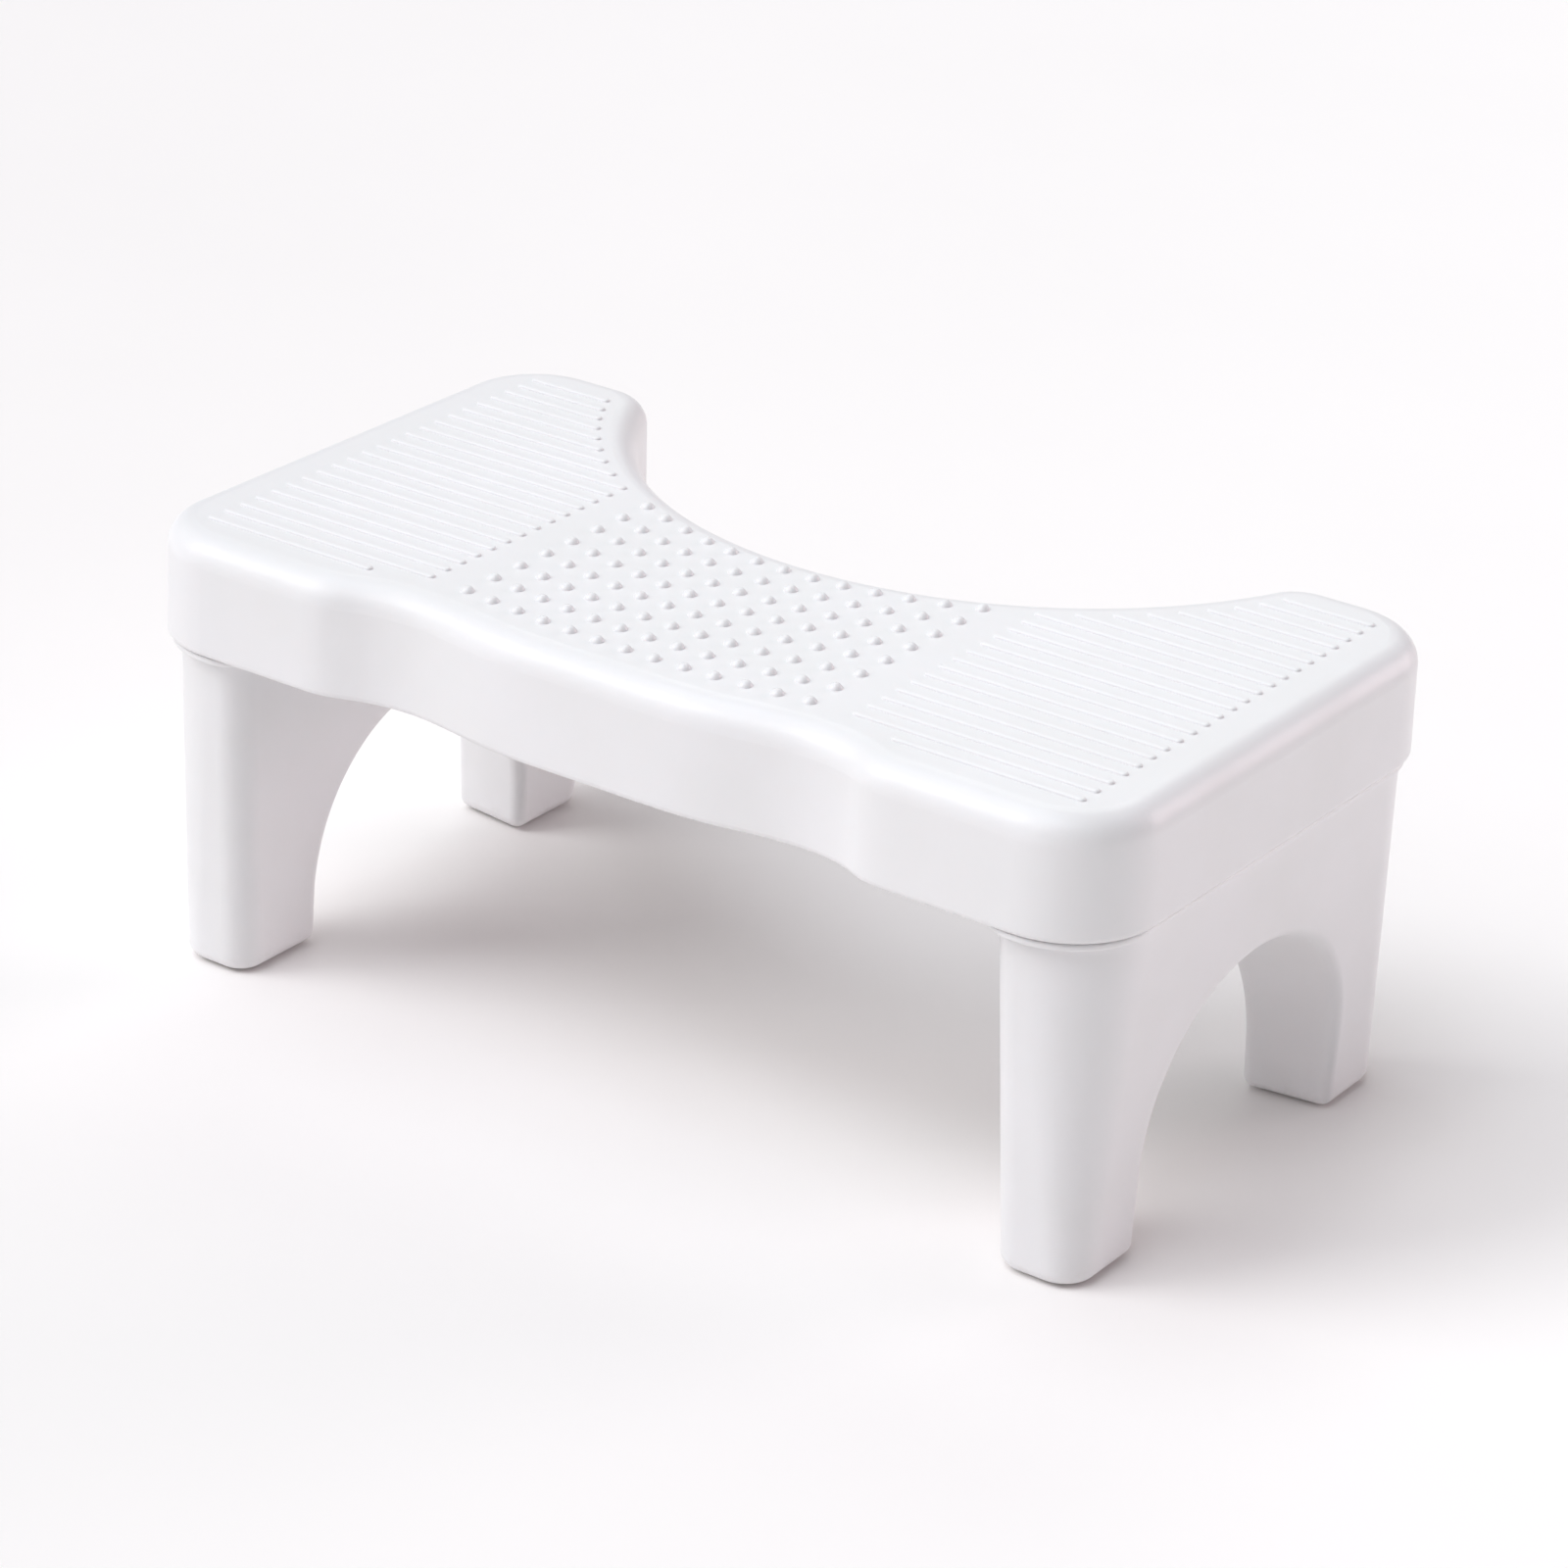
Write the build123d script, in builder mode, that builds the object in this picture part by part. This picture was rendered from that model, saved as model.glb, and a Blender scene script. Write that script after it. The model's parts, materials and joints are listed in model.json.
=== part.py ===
from build123d import *
import os

# A squat footstool: one moulded deck with a round cutout in its back, standing on two
# moulded arch frames that plug up into the deck's skirt, with a soft pad under each foot.
# Millimetres. X runs along the stool, +Y to the cutout, +Z up. The origin is on the floor,
# under the middle of the stool.

# overall sizes
length = 397.0  # over the skirt's lower edge, along X
depth = 219.0  # over the skirt's lower edge, along Y
height = 170.0  # from the floor to the top of the ribs

# deck shell
deck_wall = 3.0
top_thickness = 3.2
skirt_height = 42.5  # from the flat top down to the skirt's lower edge
skirt_lean = 0.6  # how far each side leans in over the skirt's height
plan_corner = 32.5  # corner radius of the plan, at the skirt's lower edge
top_round = 10.0
lip_round = 2.2

# wavy front of the deck: how far each point of the wave stands behind the wings' front
wave_end_x = 120.0
rise_x = 100.0
rise_setback = 5.0
valley_x = 81.0
valley_setback = 8.0
shoulder_x = 47.0
shoulder_setback = 3.4
bulge_setback = 1.9

# cutout in the back of the deck
cutout_depth = 95.5
cutout_margin = 14.0  # from the cutout's arc to the centres of the nearest ribs and domes
tip_round = 20.0
tip_margin = 18.0  # from a frame's inner face to where the cutout's arc meets the back

# ribs on the wings
rib_height = 0.9
rib_width = 2.9
rib_crown = 0.8
rib_pitch = 8.15
rib_end_margin = 20.3
rib_side_margin = 19.3
rib_start_x = 85.5
front_rib_start_x = 106.0

# domes in the middle
dome_radius = 2.5
dome_height = 1.9
dome_sink = 0.3
dome_columns = 13
dome_column_pitch = 11.65
dome_rows = 8
dome_front_margin = 19.0
dome_front_arc = 471.0

# stiffening webs under the deck
web_thickness = 2.0
web_depth = 12.0
web_pitch_x = 37.0
web_pitch_y = 35.0
web_columns = 7
web_rows = 5

# leg frames
fit_gap = 0.5  # between a frame's neck and the deck's inner faces
seam_gap = 0.6  # between a frame's bead and the skirt's lower edge
frame_wall = 3.0
frame_thickness = 41.0  # along X, at the bead
foot_thickness = 32.5  # along X, at the foot
foot_setback_x = 4.5  # how far the outer face leans in from bead to foot
foot_setback_front = 7.0
foot_setback_back = 6.0
frame_front_step = 2.2  # from the bead's core back to the front of the legs
foot_outer_corner = 12.0
frame_inner_corner = 10.0
foot_round = 4.5
neck_height = 30.0
bead_height = 2.2
bead_proud = 1.7
bead_round = 0.8
arch_centre_y = 1.5
arch_outer_half_width = 62.3
arch_inner_half_width = 57.0
arch_outer_crown = 88.0
arch_outer_spring = 35.0
arch_inner_crown = 79.5
arch_inner_spring = 14.0
arch_cut_margin = 10.0  # how far the cutter of the arch runs past each face

# sockets in the deck
socket_wall = 2.5
socket_wall_gap = 2.0  # from the socket wall's lower edge up from the skirt's lower edge
bearing_web_count = 5
bearing_web_pitch = 40.0

# foot pads
pad_thickness = 3.0
pad_proud = 1.0
pad_inset = 5.6
pad_corner = 5.0
pad_groove_radius = 0.6
pad_groove_pitch = 4.0
pad_groove_count = 5

# places worked out from the sizes above
top_z = height - rib_height
skirt_z = top_z - skirt_height
underside_z = top_z - top_thickness
half_length = length / 2
half_depth = depth / 2
overhang = deck_wall + fit_gap
foot_z = pad_proud
bead_z = skirt_z - seam_gap
rim_z = skirt_z + neck_height
frame_outer_x = half_length - overhang
frame_inner_x = frame_outer_x - frame_thickness
frame_half_depth = half_depth - overhang
foot_outer_x = frame_outer_x - foot_setback_x
foot_inner_x = foot_outer_x - foot_thickness
leg_front_y = frame_front_step - frame_half_depth
foot_front_y = leg_front_y + foot_setback_front
foot_back_y = frame_half_depth - foot_setback_back
mouth_half_width = frame_inner_x - tip_margin
cutout_radius = (cutout_depth**2 + mouth_half_width**2) / (2 * cutout_depth)
cutout_y = half_depth - cutout_depth + cutout_radius
texture_radius = cutout_radius + cutout_margin


def lean_at(z):
    # how far the skirt's outer face stands in from its lower edge at a height
    return skirt_lean * (z - skirt_z) / skirt_height


def deck_profile(z, inset):
    # plan of the deck at a height, moved in by inset on every side
    back = half_depth - inset
    front = inset - half_depth
    side = half_length - inset
    corner = plan_corner - inset
    arc_radius = cutout_radius + inset
    mouth = (arc_radius**2 - (cutout_y - back) ** 2) ** 0.5
    wave = [
        (-wave_end_x, front),
        (-rise_x, front + rise_setback),
        (-valley_x, front + valley_setback),
        (-shoulder_x, front + shoulder_setback),
        (0, front + bulge_setback),
        (shoulder_x, front + shoulder_setback),
        (valley_x, front + valley_setback),
        (rise_x, front + rise_setback),
        (wave_end_x, front),
    ]
    with BuildSketch(Plane.XY.offset(z)) as profile:
        with BuildLine():
            Spline(*wave, tangents=[(1, 0), (1, 0)])
            Polyline((wave_end_x, front), (side, front), (side, back), (mouth, back))
            ThreePointArc((mouth, back), (0, cutout_y - arc_radius), (-mouth, back))
            Polyline((-mouth, back), (-side, back), (-side, front), (-wave_end_x, front))
        make_face()
        outer_corners = [v for v in profile.vertices() if abs(v.X) > side - 1]
        fillet(outer_corners, corner)
        tips = [v for v in profile.vertices() if abs(abs(v.X) - mouth) < 0.01 and v.Y > 0]
        fillet(tips, tip_round - inset)
    return profile.sketch


def deck_block(bottom_z, block_top_z, inset, edge_round):
    # drafted block in the plan of the deck, with a rounded top edge
    with BuildPart() as block:
        add(deck_profile(bottom_z, inset + lean_at(bottom_z)))
        add(deck_profile(block_top_z, inset + lean_at(block_top_z)))
        loft(ruled=True)
        fillet(block.faces().sort_by(Axis.Z)[-1].edges(), edge_round)
    return block.part


def make_webs(outer_block):
    # webs and socket walls under the top, cut to the deck's plan
    web_z = underside_z - web_depth
    socket_z = skirt_z + socket_wall_gap
    socket_x = frame_inner_x - fit_gap - socket_wall / 2
    inner_span = 2 * socket_x
    thick = top_thickness / 2
    with BuildPart() as webs:
        with BuildSketch(Plane.XY.offset(web_z)):
            with GridLocations(web_pitch_x, 1, web_columns, 1):
                Rectangle(web_thickness, depth)
            with GridLocations(1, web_pitch_y, 1, web_rows):
                Rectangle(inner_span, web_thickness)
        extrude(amount=web_depth + thick)
        with BuildSketch(Plane.XY.offset(socket_z)):
            with Locations((-socket_x, 0), (socket_x, 0)):
                Rectangle(socket_wall, depth)
        extrude(amount=underside_z + thick - socket_z)
        with BuildSketch(Plane.XY.offset(rim_z)):
            bearing_x = (socket_x + half_length) / 2
            with Locations((-bearing_x, 0), (bearing_x, 0)):
                with GridLocations(1, bearing_web_pitch, 1, bearing_web_count):
                    Rectangle(half_length - socket_x, web_thickness)
        extrude(amount=underside_z + thick - rim_z)
        add(outer_block, mode=Mode.INTERSECT)
    return webs.part


def make_rib(rib_length):
    # one raised rib along X with rounded ends and softened upper edges, centred on its foot
    with BuildPart() as rib:
        with BuildSketch():
            SlotOverall(rib_length, rib_width)
        extrude(amount=rib_height)
        fillet(rib.faces().sort_by(Axis.Z)[-1].edges(), rib_crown)
    return rib.part


def make_dome():
    # one low dome, its foot sunk a little into the top
    cap_radius = (dome_radius**2 + dome_height**2) / (2 * dome_height)
    with BuildPart() as dome:
        with BuildSketch(Plane.XZ):
            with BuildLine():
                Line((0, -dome_sink), (dome_radius, -dome_sink))
                Line((dome_radius, -dome_sink), (dome_radius, 0))
                RadiusArc((dome_radius, 0), (0, dome_height), -cap_radius)
                Line((0, dome_height), (0, -dome_sink))
            make_face()
        revolve(axis=Axis.Z)
    return dome.part


def rib_spans():
    # start and end along X and the place along Y of each rib on the right wing
    count = int((depth - 2 * rib_side_margin) / rib_pitch) + 1
    end_x = half_length - rib_end_margin
    spans = []
    for index in range(count):
        y = (index - (count - 1) / 2) * rib_pitch
        start_x = front_rib_start_x if index == 0 else rib_start_x
        if y > cutout_y - texture_radius:
            reach = (texture_radius**2 - (cutout_y - y) ** 2) ** 0.5
            start_x = max(start_x, reach)
        spans.append((start_x, end_x, y))
    return spans


def dome_places():
    # centres of the domes: straight columns between an arc in front and one behind
    places = []
    for column in range(dome_columns):
        x = (column - (dome_columns - 1) / 2) * dome_column_pitch
        front_sag = dome_front_arc - (dome_front_arc**2 - x**2) ** 0.5
        front_y = -half_depth + bulge_setback + dome_front_margin + front_sag
        back_y = cutout_y - (texture_radius**2 - x**2) ** 0.5
        for row in range(dome_rows):
            y = front_y + (back_y - front_y) * row / (dome_rows - 1)
            places.append((x, y))
    return places


def make_deck():
    outer_block = deck_block(skirt_z, top_z, 0, top_round)
    cavity = deck_block(skirt_z, underside_z, deck_wall, top_round - deck_wall)
    webs = make_webs(outer_block)
    dome = make_dome()
    with BuildPart() as deck:
        add(outer_block)
        lower_edges = deck.faces().sort_by(Axis.Z)[0].edges()
        fillet(lower_edges, lip_round)
        add(cavity, mode=Mode.SUBTRACT)
        add(webs)
        for start_x, end_x, y in rib_spans():
            rib = make_rib(end_x - start_x)
            middle_x = (start_x + end_x) / 2
            with Locations((middle_x, y, top_z), (-middle_x, y, top_z)):
                add(rib)
        with Locations([(x, y, top_z) for x, y in dome_places()]):
            add(dome)
    deck.part.label = "deck"
    return deck.part


def frame_profile(z, inner_x, outer_x, front_y, back_y, inner_corner, outer_corner):
    # plan of a right-hand frame at a height, with large outer and small inner corners
    with BuildSketch(Plane.XY.offset(z)) as profile:
        with Locations(((inner_x + outer_x) / 2, (front_y + back_y) / 2)):
            Rectangle(outer_x - inner_x, back_y - front_y)
        fillet(profile.vertices().group_by(Axis.X)[-1], outer_corner)
        fillet(profile.vertices().group_by(Axis.X)[0], inner_corner)
    return profile.sketch


def leg_block(bottom_z, inset):
    # tapering block of a frame from a height above the foot up to the bead
    share = (bottom_z - foot_z) / (bead_z - foot_z)
    inner_x = foot_inner_x + (frame_inner_x - foot_inner_x) * share + inset
    outer_x = foot_outer_x + (frame_outer_x - foot_outer_x) * share - inset
    front_y = foot_front_y + (leg_front_y - foot_front_y) * share + inset
    back_y = foot_back_y + (frame_half_depth - foot_back_y) * share - inset
    top_corner = plan_corner - overhang
    outer_corner = foot_outer_corner + (top_corner - foot_outer_corner) * share - inset
    inner_corner = frame_inner_corner - inset
    with BuildPart() as block:
        add(frame_profile(bottom_z, inner_x, outer_x, front_y, back_y, inner_corner, outer_corner))
        add(
            frame_profile(
                bead_z,
                frame_inner_x + inset,
                frame_outer_x - inset,
                leg_front_y + inset,
                frame_half_depth - inset,
                inner_corner,
                top_corner - inset,
            )
        )
        loft(ruled=True)
    return block.part


def neck_block(inset):
    # the part of a frame above its bead, leaning in as the skirt does
    with BuildPart() as block:
        for z in (bead_z, rim_z):
            lean = max(lean_at(z), 0)
            add(
                frame_profile(
                    z,
                    frame_inner_x + inset,
                    frame_outer_x - lean - inset,
                    lean + inset - frame_half_depth,
                    frame_half_depth - lean - inset,
                    frame_inner_corner - inset,
                    plan_corner - overhang - lean - inset,
                )
            )
        loft(ruled=True)
    return block.part


def arch_profile(x, half_width, spring_z, crown_z):
    # straight sides up to the springing, then half an ellipse, in a plane across X
    low_y = arch_centre_y - half_width
    high_y = arch_centre_y + half_width
    with BuildSketch(Plane.YZ.offset(x)) as profile:
        with BuildLine():
            Polyline((low_y, spring_z), (low_y, -1), (high_y, -1), (high_y, spring_z))
            EllipticalCenterArc((arch_centre_y, spring_z), half_width, crown_z - spring_z, arc_size=180)
        make_face()
    return profile.sketch


def arch_cutter(grow):
    # the arch opening, wider and higher at the outer face than at the inner face
    over = arch_cut_margin / frame_thickness
    width_step = (arch_outer_half_width - arch_inner_half_width) * over
    spring_step = (arch_outer_spring - arch_inner_spring) * over
    crown_step = (arch_outer_crown - arch_inner_crown) * over
    with BuildPart() as cutter:
        add(
            arch_profile(
                frame_inner_x - arch_cut_margin,
                arch_inner_half_width - width_step + grow,
                arch_inner_spring - spring_step,
                arch_inner_crown - crown_step + grow,
            )
        )
        add(
            arch_profile(
                frame_outer_x + arch_cut_margin,
                arch_outer_half_width + width_step + grow,
                arch_outer_spring + spring_step,
                arch_outer_crown + crown_step + grow,
            )
        )
        loft(ruled=True)
    return cutter.part


def make_bead():
    # rounded bead round the frame just under the skirt
    with BuildPart() as bead:
        add(
            frame_profile(
                bead_z - bead_height,
                frame_inner_x - bead_proud,
                frame_outer_x + bead_proud,
                -frame_half_depth - bead_proud,
                frame_half_depth + bead_proud,
                frame_inner_corner + bead_proud,
                plan_corner - overhang + bead_proud,
            )
        )
        extrude(amount=bead_height)
        fillet(bead.edges().group_by(Axis.Z)[0], bead_round)
        fillet(bead.edges().group_by(Axis.Z)[-1], bead_round)
    return bead.part


def frame_hollow():
    # the open inside of a frame: a channel over the arch and a well down each leg
    floor_z = foot_z + pad_thickness - pad_proud + frame_wall
    with BuildPart() as hollow:
        add(leg_block(floor_z, frame_wall))
        add(neck_block(frame_wall))
        add(arch_cutter(frame_wall), mode=Mode.SUBTRACT)
    return hollow.part


def pad_centres():
    # centres of the two pads of a right-hand frame, front first
    x = (foot_inner_x + foot_outer_x) / 2
    front_y = (foot_front_y + arch_centre_y - arch_outer_half_width) / 2
    back_y = (foot_back_y + arch_centre_y + arch_outer_half_width) / 2
    return [(x, front_y), (x, back_y)]


def pad_size():
    foot_depth = foot_back_y - arch_centre_y - arch_outer_half_width
    return (foot_thickness - 2 * pad_inset, foot_depth - 2 * pad_inset)


def make_pad(x, y, label):
    # soft pad with round grooves across its underside, set into a foot
    size_x, size_y = pad_size()
    with BuildPart() as pad:
        with BuildSketch():
            with Locations((x, y)):
                RectangleRounded(size_x, size_y, pad_corner)
        extrude(amount=pad_thickness)
        with Locations(Plane((x, y, 0), x_dir=(0, 1, 0), z_dir=(1, 0, 0))):
            with GridLocations(pad_groove_pitch, 1, pad_groove_count, 1):
                Cylinder(pad_groove_radius, 2 * size_x, mode=Mode.SUBTRACT)
    pad.part.label = label
    return pad.part


def make_frame():
    # right-hand frame
    block = leg_block(foot_z, 0)
    cutter = arch_cutter(0)
    hollow = frame_hollow()
    with BuildPart() as frame:
        add(block)
        add(cutter, mode=Mode.SUBTRACT)
        foot_edges = [e for e in frame.edges() if e.bounding_box().max.Z < foot_z + 0.01]
        arch_edges = [
            e
            for e in frame.edges()
            if abs(e.center().Y - arch_centre_y) < arch_outer_half_width + 1
            and e.bounding_box().size.X < frame_thickness / 2
            and e.bounding_box().size.Z > 1
        ]
        fillet(arch_edges + foot_edges, foot_round)
        add(neck_block(0))
        add(make_bead())
        add(hollow, mode=Mode.SUBTRACT)
        with BuildSketch(Plane.XY.offset(foot_z)):
            with Locations(*pad_centres()):
                RectangleRounded(*pad_size(), pad_corner)
        extrude(amount=pad_thickness - pad_proud, mode=Mode.SUBTRACT)
    return frame.part


os.makedirs("parts", exist_ok=True)

deck = make_deck()
export_step(deck, "parts/deck.step")

right_frame = make_frame()
right_frame.label = "leg_frame_right"
export_step(right_frame, "parts/leg_frame_right.step")

left_frame = right_frame.mirror(Plane.YZ)
left_frame.label = "leg_frame_left"
export_step(left_frame, "parts/leg_frame_left.step")

for end, (x, y) in zip(("front", "rear"), pad_centres()):
    for side, sign in (("left", -1), ("right", 1)):
        name = "foot_pad_" + end + "_" + side
        export_step(make_pad(sign * x, y, name), "parts/" + name + ".step")
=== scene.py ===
import json
from math import pi, radians

import bmesh
import bpy
import numpy as np
from mathutils import Matrix, Vector

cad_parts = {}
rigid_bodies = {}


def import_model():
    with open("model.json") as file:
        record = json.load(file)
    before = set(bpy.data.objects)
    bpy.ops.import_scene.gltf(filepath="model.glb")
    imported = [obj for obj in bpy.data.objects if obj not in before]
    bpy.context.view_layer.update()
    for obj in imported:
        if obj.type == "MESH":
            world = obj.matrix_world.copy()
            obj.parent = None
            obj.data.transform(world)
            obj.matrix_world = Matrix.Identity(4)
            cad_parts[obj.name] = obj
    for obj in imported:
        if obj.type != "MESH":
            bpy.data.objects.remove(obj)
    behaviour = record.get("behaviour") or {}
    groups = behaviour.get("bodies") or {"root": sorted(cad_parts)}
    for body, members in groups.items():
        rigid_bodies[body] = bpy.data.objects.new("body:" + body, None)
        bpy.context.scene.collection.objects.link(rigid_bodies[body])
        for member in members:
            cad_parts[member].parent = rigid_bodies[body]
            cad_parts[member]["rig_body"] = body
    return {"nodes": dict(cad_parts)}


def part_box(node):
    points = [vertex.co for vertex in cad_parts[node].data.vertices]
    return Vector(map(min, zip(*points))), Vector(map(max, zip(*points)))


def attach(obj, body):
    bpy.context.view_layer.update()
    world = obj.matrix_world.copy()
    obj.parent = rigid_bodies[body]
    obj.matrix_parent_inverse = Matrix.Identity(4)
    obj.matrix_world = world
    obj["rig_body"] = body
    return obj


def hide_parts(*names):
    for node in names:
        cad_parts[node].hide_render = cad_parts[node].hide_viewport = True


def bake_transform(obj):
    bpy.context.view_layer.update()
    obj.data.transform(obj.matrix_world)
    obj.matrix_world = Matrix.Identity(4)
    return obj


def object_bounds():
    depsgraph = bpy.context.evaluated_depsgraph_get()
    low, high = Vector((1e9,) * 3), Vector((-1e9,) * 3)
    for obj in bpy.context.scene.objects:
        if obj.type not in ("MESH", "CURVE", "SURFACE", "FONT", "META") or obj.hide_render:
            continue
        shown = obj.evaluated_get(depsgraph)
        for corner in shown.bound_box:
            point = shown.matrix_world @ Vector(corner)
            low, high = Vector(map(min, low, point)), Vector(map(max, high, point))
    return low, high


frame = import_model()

# White footstool with a round cutout: the deck and the leg frames keep their own meshes and get moulded
# plastic; the foot pads and the moulding marks are made here. Metres, Z up, floor at Z = 0.

cadBox = [list(corner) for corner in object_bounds()]
nodes = frame["nodes"]
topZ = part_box("deck")[1].z
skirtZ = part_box("deck")[0].z
print("frame loaded:", len(nodes), "nodes")


# small helpers for materials and meshes

def newMaterial(name):
    material = bpy.data.materials.new(name)
    material.use_nodes = True
    material.node_tree.nodes.clear()
    return material, material.node_tree


def addNode(tree, kind, inputs=None, **settings):
    node = tree.nodes.new(kind)
    for key, value in settings.items():
        setattr(node, key, value)
    for key, value in (inputs or {}).items():
        node.inputs[key].default_value = value
    return node


def feed(tree, socket, value):
    # value is another node's output, or a constant
    if isinstance(value, bpy.types.NodeSocket):
        tree.links.new(value, socket)
    else:
        socket.default_value = value


def mapRange(tree, source, fromLow, fromHigh, toLow, toHigh):
    # straight line from one range to another, held at its ends
    node = addNode(tree, "ShaderNodeMapRange", {1: fromLow, 2: fromHigh, 3: toLow, 4: toHigh})
    tree.links.new(source, node.inputs[0])
    return node.outputs[0]


def maths(tree, operation, first, second):
    node = addNode(tree, "ShaderNodeMath", operation=operation)
    feed(tree, node.inputs[0], first)
    feed(tree, node.inputs[1], second)
    return node.outputs[0]


def noise(tree, place, size, detail, roughness=0.5):
    # noise whose blotches are about size metres across
    inputs = {"Scale": 1 / size, "Detail": detail, "Roughness": roughness}
    node = addNode(tree, "ShaderNodeTexNoise", inputs)
    tree.links.new(place, node.inputs["Vector"])
    return node.outputs["Fac"]


def mixColours(tree, share, first, second):
    # first is a colour or another node's output
    node = addNode(tree, "ShaderNodeMix", {"B": (*second, 1)}, data_type="RGBA")
    feed(tree, node.inputs["A"], (*first, 1) if isinstance(first, tuple) else first)
    tree.links.new(share, node.inputs["Factor"])
    return node.outputs["Result"]


def objectPlace(tree):
    # the point's place on the object, and its height alone
    place = addNode(tree, "ShaderNodeTexCoord").outputs["Object"]
    split = addNode(tree, "ShaderNodeSeparateXYZ")
    tree.links.new(place, split.inputs[0])
    return place, split.outputs["Z"]


def bump(tree, height, strength, distance, under=None):
    # bump of the given distance in metres, laid over another bump if one is given
    node = addNode(tree, "ShaderNodeBump", {"Strength": strength, "Distance": distance})
    tree.links.new(height, node.inputs["Height"])
    if under:
        tree.links.new(under, node.inputs["Normal"])
    return node.outputs["Normal"]


def finishMaterial(tree, shader, **sources):
    # joins the sources to the shader's sockets, and the shader to the surface
    for socketName, source in sources.items():
        tree.links.new(source, shader.inputs[socketName.replace("_", " ")])
    output = addNode(tree, "ShaderNodeOutputMaterial")
    tree.links.new(shader.outputs[0], output.inputs["Surface"])


def gridObject(name, points, closedAcross=False):
    # quads between the points of a (rows, columns, 3) grid, its columns joined up if closedAcross
    rows, columns = points.shape[:2]
    index = np.arange(rows * columns).reshape(rows, columns)
    if closedAcross:
        index = np.concatenate([index, index[:, :1]], 1)
    corners = [index[:-1, :-1], index[1:, :-1], index[1:, 1:], index[:-1, 1:]]
    quads = np.stack(corners, -1).reshape(-1, 4)
    mesh = bpy.data.meshes.new(name)
    mesh.vertices.add(rows * columns)
    mesh.vertices.foreach_set("co", points.reshape(-1).astype(np.float32))
    mesh.loops.add(quads.size)
    mesh.loops.foreach_set("vertex_index", quads.reshape(-1).astype(np.int32))
    mesh.polygons.add(len(quads))
    mesh.polygons.foreach_set("loop_start", np.arange(0, quads.size, 4, dtype=np.int32))
    mesh.polygons.foreach_set("use_smooth", np.ones(len(quads), bool))
    mesh.update(calc_edges=True)
    thing = bpy.data.objects.new(name, mesh)
    bpy.context.scene.collection.objects.link(thing)
    return thing


def closeSurface(thing, poleGap=1e-7):
    # merges the points of each pole, then turns every face outwards
    shape = bmesh.new()
    shape.from_mesh(thing.data)
    bmesh.ops.remove_doubles(shape, verts=shape.verts, dist=poleGap)
    bmesh.ops.recalc_face_normals(shape, faces=shape.faces)
    shape.to_mesh(thing.data)
    shape.free()


# moulded plastic of the deck and the leg frames

deckPlastic = {
    "colour": (0.86, 0.85, 0.865),
    "flowColour": (0.84, 0.832, 0.84),
    "flowSize": 0.05,
    "grainSize": 0.0007,
    "grainHeight": 0.00002,
    "grainStrength": 0.6,
    "waveSize": 0.03,
    "waveHeight": 0.00006,
    "roughness": 0.36,
    "roughnessSpread": 0.05,
    "grainRoughness": 0.03,
    "refraction": 1.49,
    "softness": 0.12,
    "softnessReach": 0.004,
    "softnessColour": (1.0, 0.85, 0.8),
    "polishFrom": topZ - 0.0012,
    "polishRise": 0.0006,
    "polish": 0.07,
    # darker specks near the bottom of the part: their colour, where they start to fade, how far up they
    # fade, their size, their strongest mix and their added roughness
    "lowSpecksColour": (0.74, 0.73, 0.72),
    "lowSpecksFrom": skirtZ - 0.004,
    "lowSpecksRise": 0.008,
    "lowSpecksSize": 0.004,
    "lowSpecksMost": 0.6,
    "lowSpecksRoughness": 0.25,
}
framePlastic = dict(deckPlastic, flowSize=0.04, polishFrom=topZ, lowSpecksFrom=0.002)


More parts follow.
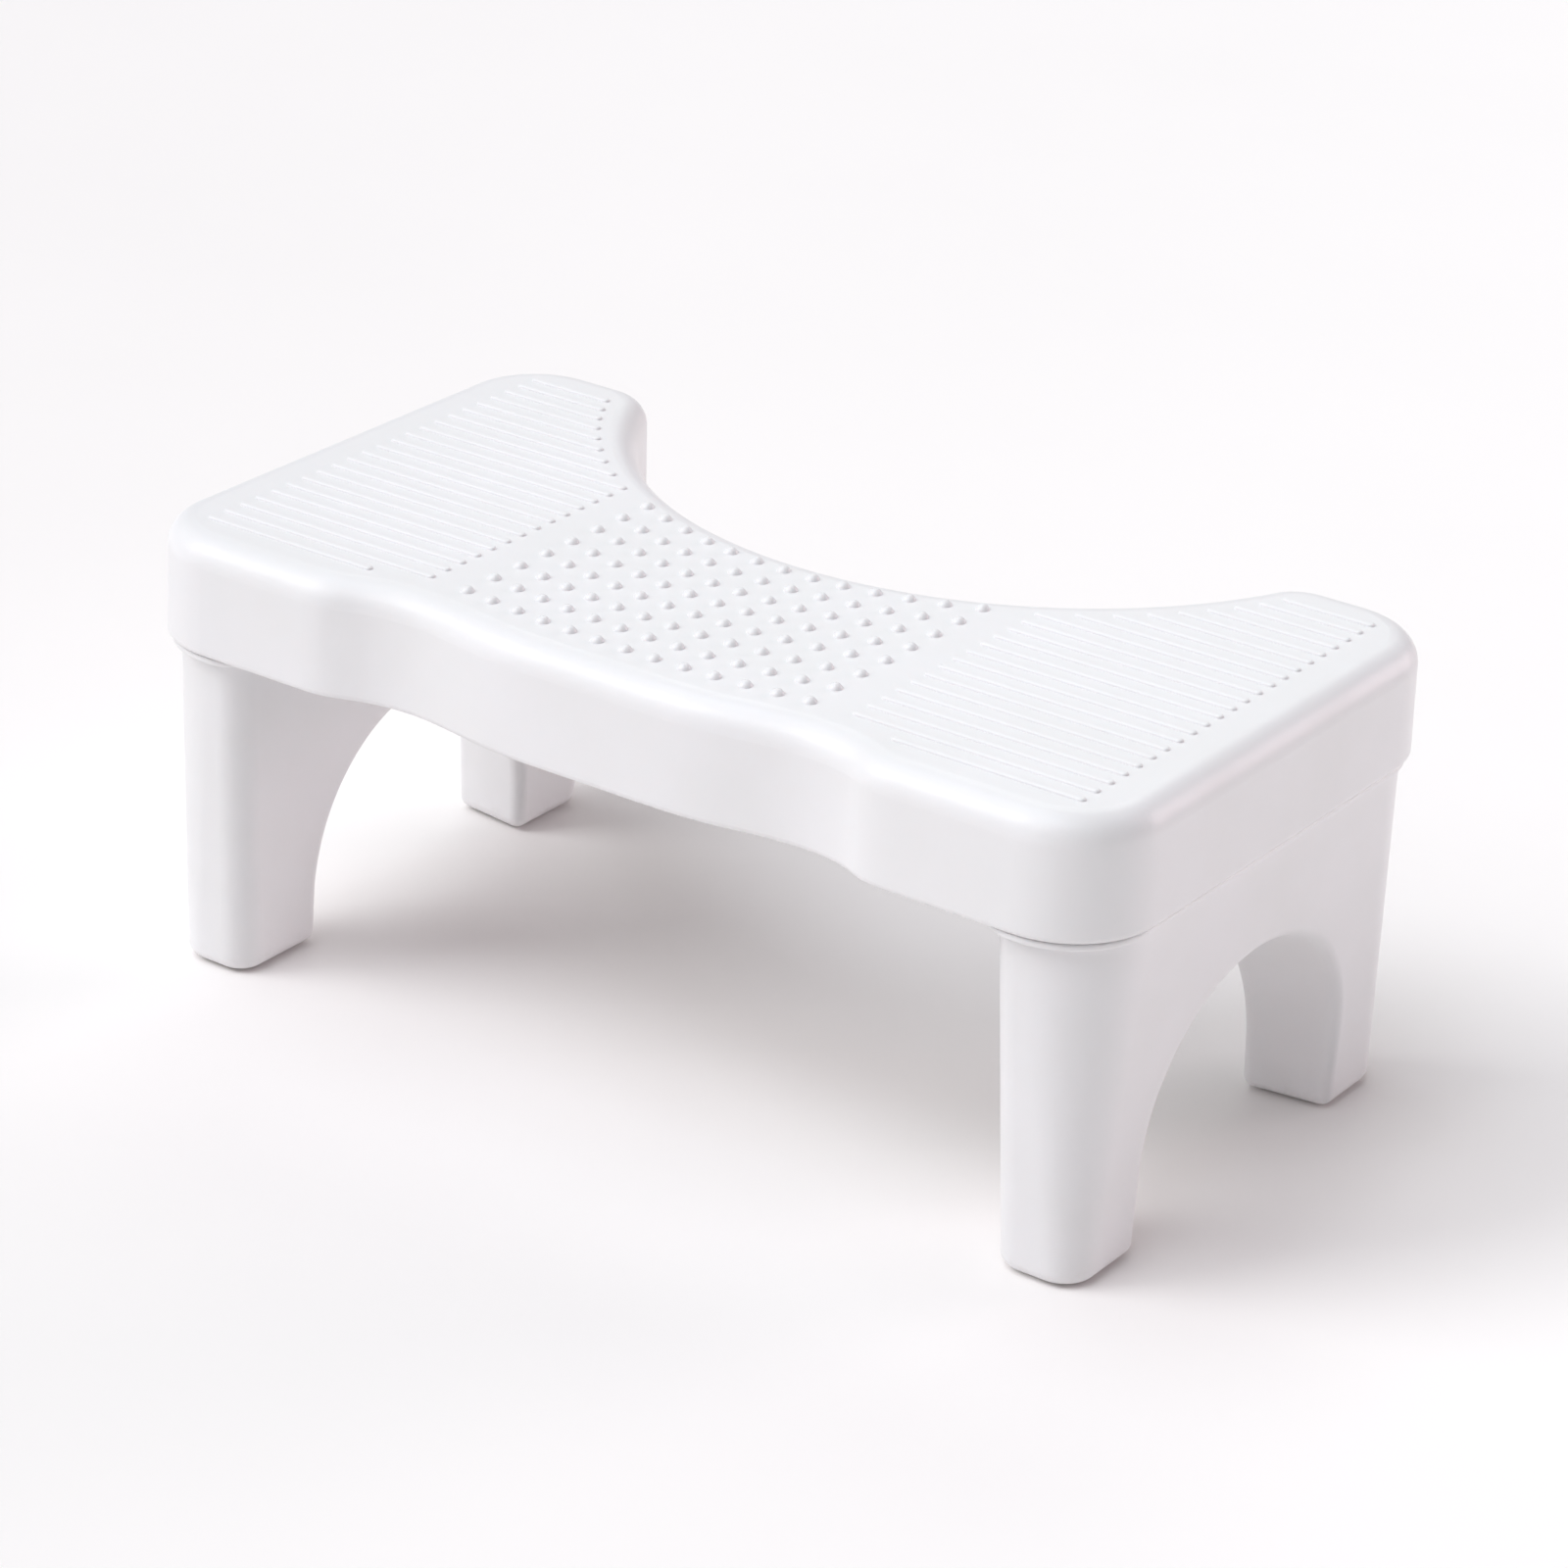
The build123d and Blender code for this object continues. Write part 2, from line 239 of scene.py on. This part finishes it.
def mouldedPlastic(name, plastic):
    # satin white plastic: slow colour drift from the melt's flow, spark-eroded grain over slight sink
    # waves, polished where feet rub above polishFrom, and darker, rougher specks that fade out upwards
    # from a given height near the bottom
    material, tree = newMaterial(name)
    place, height = objectPlace(tree)
    flow = noise(tree, place, plastic["flowSize"], 3.0)
    grain = noise(tree, place, plastic["grainSize"], 3.0, 0.65)
    wave = noise(tree, place, plastic["waveSize"], 1.0)
    specks = noise(tree, place, plastic["lowSpecksSize"], 4.0, 0.7)

    # mask of the darker specks: full at the bottom, gone a few millimetres higher
    lowSpecksTop = plastic["lowSpecksFrom"] + plastic["lowSpecksRise"]
    low = mapRange(tree, height, plastic["lowSpecksFrom"], lowSpecksTop, 1.0, 0.0)
    lowSpecks = maths(tree, "MULTIPLY", low, mapRange(tree, specks, 0.5, 0.75, 0.0, plastic["lowSpecksMost"]))
    drift = mapRange(tree, flow, 0.35, 0.65, 0.0, 1.0)
    colour = mixColours(tree, drift, plastic["colour"], plastic["flowColour"])
    colour = mixColours(tree, lowSpecks, colour, plastic["lowSpecksColour"])

    base, spread = plastic["roughness"], plastic["roughnessSpread"]
    fine = plastic["grainRoughness"]
    polishTop = plastic["polishFrom"] + plastic["polishRise"]
    polish = mapRange(tree, height, plastic["polishFrom"], polishTop, 0.0, plastic["polish"])
    rough = mapRange(tree, flow, 0.3, 0.7, base - spread, base + spread)
    rough = maths(tree, "ADD", rough, mapRange(tree, grain, 0.3, 0.7, -fine, fine))
    rough = maths(tree, "SUBTRACT", rough, polish)
    rough = maths(tree, "ADD", rough, maths(tree, "MULTIPLY", lowSpecks, plastic["lowSpecksRoughness"]))

    waves = bump(tree, wave, 1.0, plastic["waveHeight"])
    surface = bump(tree, grain, plastic["grainStrength"], plastic["grainHeight"], under=waves)
    shader = addNode(tree, "ShaderNodeBsdfPrincipled", {
        "Subsurface Weight": plastic["softness"],
        "Subsurface Radius": plastic["softnessColour"],
        "Subsurface Scale": plastic["softnessReach"],
        "IOR": plastic["refraction"],
    })
    finishMaterial(tree, shader, Base_Color=colour, Roughness=rough, Normal=surface)
    return material


def dress(nodeName, material):
    for slot in nodes[nodeName].material_slots:
        slot.material = material


deckMaterial = mouldedPlastic("deckPlastic", deckPlastic)
frameMaterial = mouldedPlastic("framePlastic", framePlastic)
dress("deck", deckMaterial)
dress("leg_frame_left", frameMaterial)
dress("leg_frame_right", frameMaterial)
print("plastic assigned")


# foot pads

footPad = {
    "aroundSteps": 192,
    "treadRings": 34,
    "topRingStep": 8,  # the flat top takes every eighth of the tread's rings
    "squareness": 7.0,
    "edgeRound": 0.0007,
    "edgeSteps": 7,
    "treadPitch": 0.0034,
    "treadDepth": 0.0006,
    "treadSteepness": 3,
    "treadLevel": 1.6,
    "rimShare": 0.86,
}
padRubber = {
    "colour": (0.70, 0.70, 0.685),
    "grainSize": 0.0005,
    "grainHeight": 0.00003,
    "grainStrength": 0.8,
    "roughness": 0.62,
    "roughnessSpread": 0.14,
    "refraction": 1.45,
    "sheen": 0.1,
    "dustColour": (0.52, 0.50, 0.47),
    "dustSize": 0.006,
    "dustFull": 0.0001,  # heights where the dust is full and where it ends
    "dustTop": 0.0008,
}


def softRubber(rubber):
    # soft off-white rubber: fine grain, and cloudy dust where it stands on the floor
    material, tree = newMaterial("padRubber")
    place, height = objectPlace(tree)
    grain = noise(tree, place, rubber["grainSize"], 3.0, 0.6)
    cloud = noise(tree, place, rubber["dustSize"], 4.0, 0.65)
    low = mapRange(tree, height, rubber["dustFull"], rubber["dustTop"], 1.0, 0.0)
    dust = maths(tree, "MULTIPLY", low, mapRange(tree, cloud, 0.4, 0.7, 0.1, 0.8))
    colour = mixColours(tree, dust, rubber["colour"], rubber["dustColour"])
    base = rubber["roughness"]
    rough = mapRange(tree, cloud, 0.3, 0.7, base, base + rubber["roughnessSpread"])
    surface = bump(tree, grain, rubber["grainStrength"], rubber["grainHeight"])
    inputs = {"IOR": rubber["refraction"], "Sheen Weight": rubber["sheen"]}
    shader = addNode(tree, "ShaderNodeBsdfPrincipled", inputs)
    finishMaterial(tree, shader, Base_Color=colour, Roughness=rough, Normal=surface)
    return material


def makePad(nodeName, material):
    # slab whose plan is the superellipse |x/a|^p + |y/b|^p = 1, grown from its centre in rings: across
    # the underside, round the lower edge on a quarter circle, up, and back over the top. The greater of
    # two cosine waves that cross at 45 degrees raises grooves in the underside and leaves diamonds
    lowCorner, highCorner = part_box(nodeName)
    middle = (lowCorner + highCorner) / 2
    halfX = (highCorner.x - lowCorner.x) / 2
    halfY = (highCorner.y - lowCorner.y) / 2
    power = footPad["squareness"]
    around = np.linspace(0, 2 * pi, footPad["aroundSteps"], endpoint=False)
    sides = np.abs(np.cos(around) / halfX) ** power + np.abs(np.sin(around) / halfY) ** power
    reach = sides ** (-1 / power)

    edge = footPad["edgeRound"]
    rise = highCorner.z - lowCorner.z
    turn = np.linspace(0, pi / 2, footPad["edgeSteps"])
    flatShare = 1 - edge / min(halfX, halfY)
    flat = np.linspace(0, flatShare, footPad["treadRings"])
    top = flat[::-footPad["topRingStep"]]
    edgeShares = flatShare + (1 - flatShare) * np.sin(turn)
    shares = np.concatenate([flat, edgeShares, [1.0], top])[:, None]
    heights = np.concatenate([0 * flat, edge * (1 - np.cos(turn)), [rise], 0 * top + rise])[:, None]
    x = shares * (reach * np.cos(around))
    y = shares * (reach * np.sin(around))

    waves = 2 * pi / (footPad["treadPitch"] * 2 ** 0.5)
    crossed = np.maximum(np.cos((x + y) * waves), np.cos((x - y) * waves))
    groove = np.clip(crossed * footPad["treadSteepness"] - footPad["treadLevel"], 0, 1)
    under = (heights == 0) & (shares < footPad["rimShare"])
    z = lowCorner.z + heights + footPad["treadDepth"] * groove * under
    points = np.stack([middle.x + x, middle.y + y, z], -1)
    pad = gridObject(nodeName + "_tread", points, closedAcross=True)
    closeSurface(pad)
    pad.data.materials.append(material)
    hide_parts(nodeName)
    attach(pad, nodes[nodeName]["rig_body"])


rubberMaterial = softRubber(padRubber)
for padName in sorted(name for name in nodes if name.startswith("foot_pad")):
    makePad(padName, rubberMaterial)
print("foot pads made")


# moulding marks under the deck: ejector pins, and the stub where the plastic ran in

mouldMarks = {
    "plateDrop": 0.0051,  # from the domes' tops down to the underside of the top plate
    "aroundSteps": 20,
    "columns": (-0.0925, -0.0555, -0.0185, 0.0185, 0.0555, 0.0925),
    "rows": (-0.0875, -0.0525, -0.0175),
    "pinRadius": 0.003,
    "pinProud": 0.00015,
    # profiles: (share of the radius, share of the length below the plate)
    "pinProfile": ((0, 0.6), (0.86, 0.6), (0.95, 1), (1, 1), (1, -1), (0, -1)),
    "gatePlace": (0.0185, -0.0175),
    "gateRadius": 0.0022,
    "gateLength": 0.0012,
    "gateProfile": ((0, 0.8), (0.45, 1), (0.6, 0.9), (0.8, 0.3), (1, 0.1), (1, -0.25), (0, -0.25)),
}


def turnedStuds(name, places, radius, length, profile):
    # studs that hang from the plate: the profile turned about Z, set at each place
    around = np.linspace(0, 2 * pi, mouldMarks["aroundSteps"], endpoint=False)
    plateZ = topZ - mouldMarks["plateDrop"]
    shares = np.array(profile)
    radii = shares[:, :1] * radius
    z = plateZ - shares[:, 1:] * length + 0 * around
    studs = []
    for placeX, placeY in places:
        x = placeX + radii * np.cos(around)
        y = placeY + radii * np.sin(around)
        stud = gridObject(name, np.stack([x, y, z], -1), closedAcross=True)
        closeSurface(stud)
        studs.append(stud)
    whole = studs[0]
    if len(studs) > 1:
        with bpy.context.temp_override(active_object=whole, selected_editable_objects=studs):
            bpy.ops.object.join()
    whole.name = name
    whole.data.materials.append(deckMaterial)
    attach(whole, "deck")


gatePlace = mouldMarks["gatePlace"]
pinPlaces = [(x, y) for x in mouldMarks["columns"] for y in mouldMarks["rows"] if (x, y) != gatePlace]
turnedStuds("ejector_marks", pinPlaces,
            mouldMarks["pinRadius"], mouldMarks["pinProud"], mouldMarks["pinProfile"])
turnedStuds("gate_nub", [gatePlace],
            mouldMarks["gateRadius"], mouldMarks["gateLength"], mouldMarks["gateProfile"])
print("moulding marks made")


# camera; azimuth 0 is in front of the stool, 90 to its right, here and for the lamps

view = {
    "azimuth": 34.594,
    "elevation": 24.826,
    "roll": 2.346,
    "distance": 1.7463,
    "lens": 116.3,
    "sensor": 36.0,
    "nearest": 0.05,
    "farthest": 100,
    "aimOffset": (0.0025, 0.0017, 0.0043),  # from the middle of the stool's box
}


def orbit(azimuth, elevation, distance):
    # where something stands that looks at the origin from the given side, height angle and distance
    turn = Matrix.Rotation(radians(azimuth), 4, "Z")
    tilt = Matrix.Rotation(radians(90 - elevation), 4, "X")
    return turn @ tilt @ Matrix.Translation((0, 0, distance))


def makeCamera():
    lowCorner, highCorner = (Vector(corner) for corner in cadBox)
    aim = (lowCorner + highCorner) / 2 + Vector(view["aimOffset"])
    data = bpy.data.cameras.new("camera")
    data.sensor_width = view["sensor"]
    data.lens = view["lens"]
    data.clip_start = view["nearest"]
    data.clip_end = view["farthest"]
    camera = bpy.data.objects.new("camera", data)
    stand = orbit(view["azimuth"], view["elevation"], view["distance"])
    roll = Matrix.Rotation(radians(view["roll"]), 4, "Z")
    camera.matrix_world = Matrix.Translation(aim) @ stand @ roll
    bpy.context.scene.collection.objects.link(camera)
    bpy.context.scene.camera = camera


makeCamera()
print("camera set")


# floor and light

studio = {
    "floorSize": 60.0,
    "floorSteps": 40,
    "floorGrading": 3,  # steps widen from the middle with this power
    "floorColour": (0.97, 0.945, 0.935),
    "mottleSize": 0.3,
    "mottleShade": 0.985,
    "slopeEnd": 0.15,
    "worldColour": (1.0, 0.95, 0.97),
    "worldStrength": 0.22,
    "lampSpread": 31,
    "lampDistance": 2,
    # name: (azimuth, elevation, strength, colour)
    "lamps": {
        "frontLeft": (-50, 40, 1.22, (0.97, 0.99, 1.0)),
        "frontLow": (-45, 15, 0.22, (1.0, 0.99, 0.97)),
        "front": (-15, 42, 0.34, (1.0, 0.98, 1.0)),
        "above": (0, 68, 0.74, (0.91, 0.95, 1.0)),
        "aboveLeft": (-90, 68, 0.6, (0.88, 0.95, 1.0)),
        "rearLow": (150, 12, 1.02, (1.0, 0.84, 0.88)),
        "rearLeft": (-150, 40, 0.42, (0.92, 1.0, 0.95)),
    },
}


def matPaper():
    # matt white paper, mottled a little
    material, tree = newMaterial("floorPaper")
    place = addNode(tree, "ShaderNodeTexCoord").outputs["Object"]
    mottle = mapRange(tree, noise(tree, place, studio["mottleSize"], 4.0), 0.3, 0.7, 0.0, 1.0)
    paper = studio["floorColour"]
    shade = tuple(studio["mottleShade"] * channel for channel in paper)
    shader = addNode(tree, "ShaderNodeBsdfDiffuse", {"Roughness": 0.5})
    finishMaterial(tree, shader, Color=mixColours(tree, mottle, paper, shade))
    return material


def makeFloor():
    # two flat halves on Z = 0 that meet under the middle
    paper = matPaper()
    reach = studio["floorSize"] / 2
    away = np.linspace(0, 1, studio["floorSteps"] + 1) ** studio["floorGrading"] * reach
    along = np.concatenate([-away[:0:-1], away])
    slopes = {"left": (-away[::-1], -studio["slopeEnd"]), "right": (away, studio["slopeEnd"])}
    for side, (across, slopeEnd) in slopes.items():
        x, y = np.meshgrid(across, along, indexing="ij")
        half = gridObject("floor_" + side, np.stack([x, y, 0 * x], -1))
        half.data.materials.append(paper)
        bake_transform(half)


def makeLamp(name, azimuth, elevation, strength, colour):
    data = bpy.data.lights.new(name, "SUN")
    data.angle = radians(studio["lampSpread"])
    data.energy = strength
    data.color = colour
    lamp = bpy.data.objects.new(name, data)
    lamp.matrix_world = orbit(azimuth, elevation, studio["lampDistance"])
    bpy.context.scene.collection.objects.link(lamp)


def makeWorld():
    world = bpy.data.worlds.new("studio")
    world.use_nodes = True
    background = world.node_tree.nodes["Background"]
    background.inputs["Color"].default_value = (*studio["worldColour"], 1)
    background.inputs["Strength"].default_value = studio["worldStrength"]
    bpy.context.scene.world = world


makeFloor()
makeWorld()
for lampName, lampValues in studio["lamps"].items():
    makeLamp(lampName, *lampValues)
bpy.context.scene.view_settings.view_transform = "Standard"
print("studio ready")
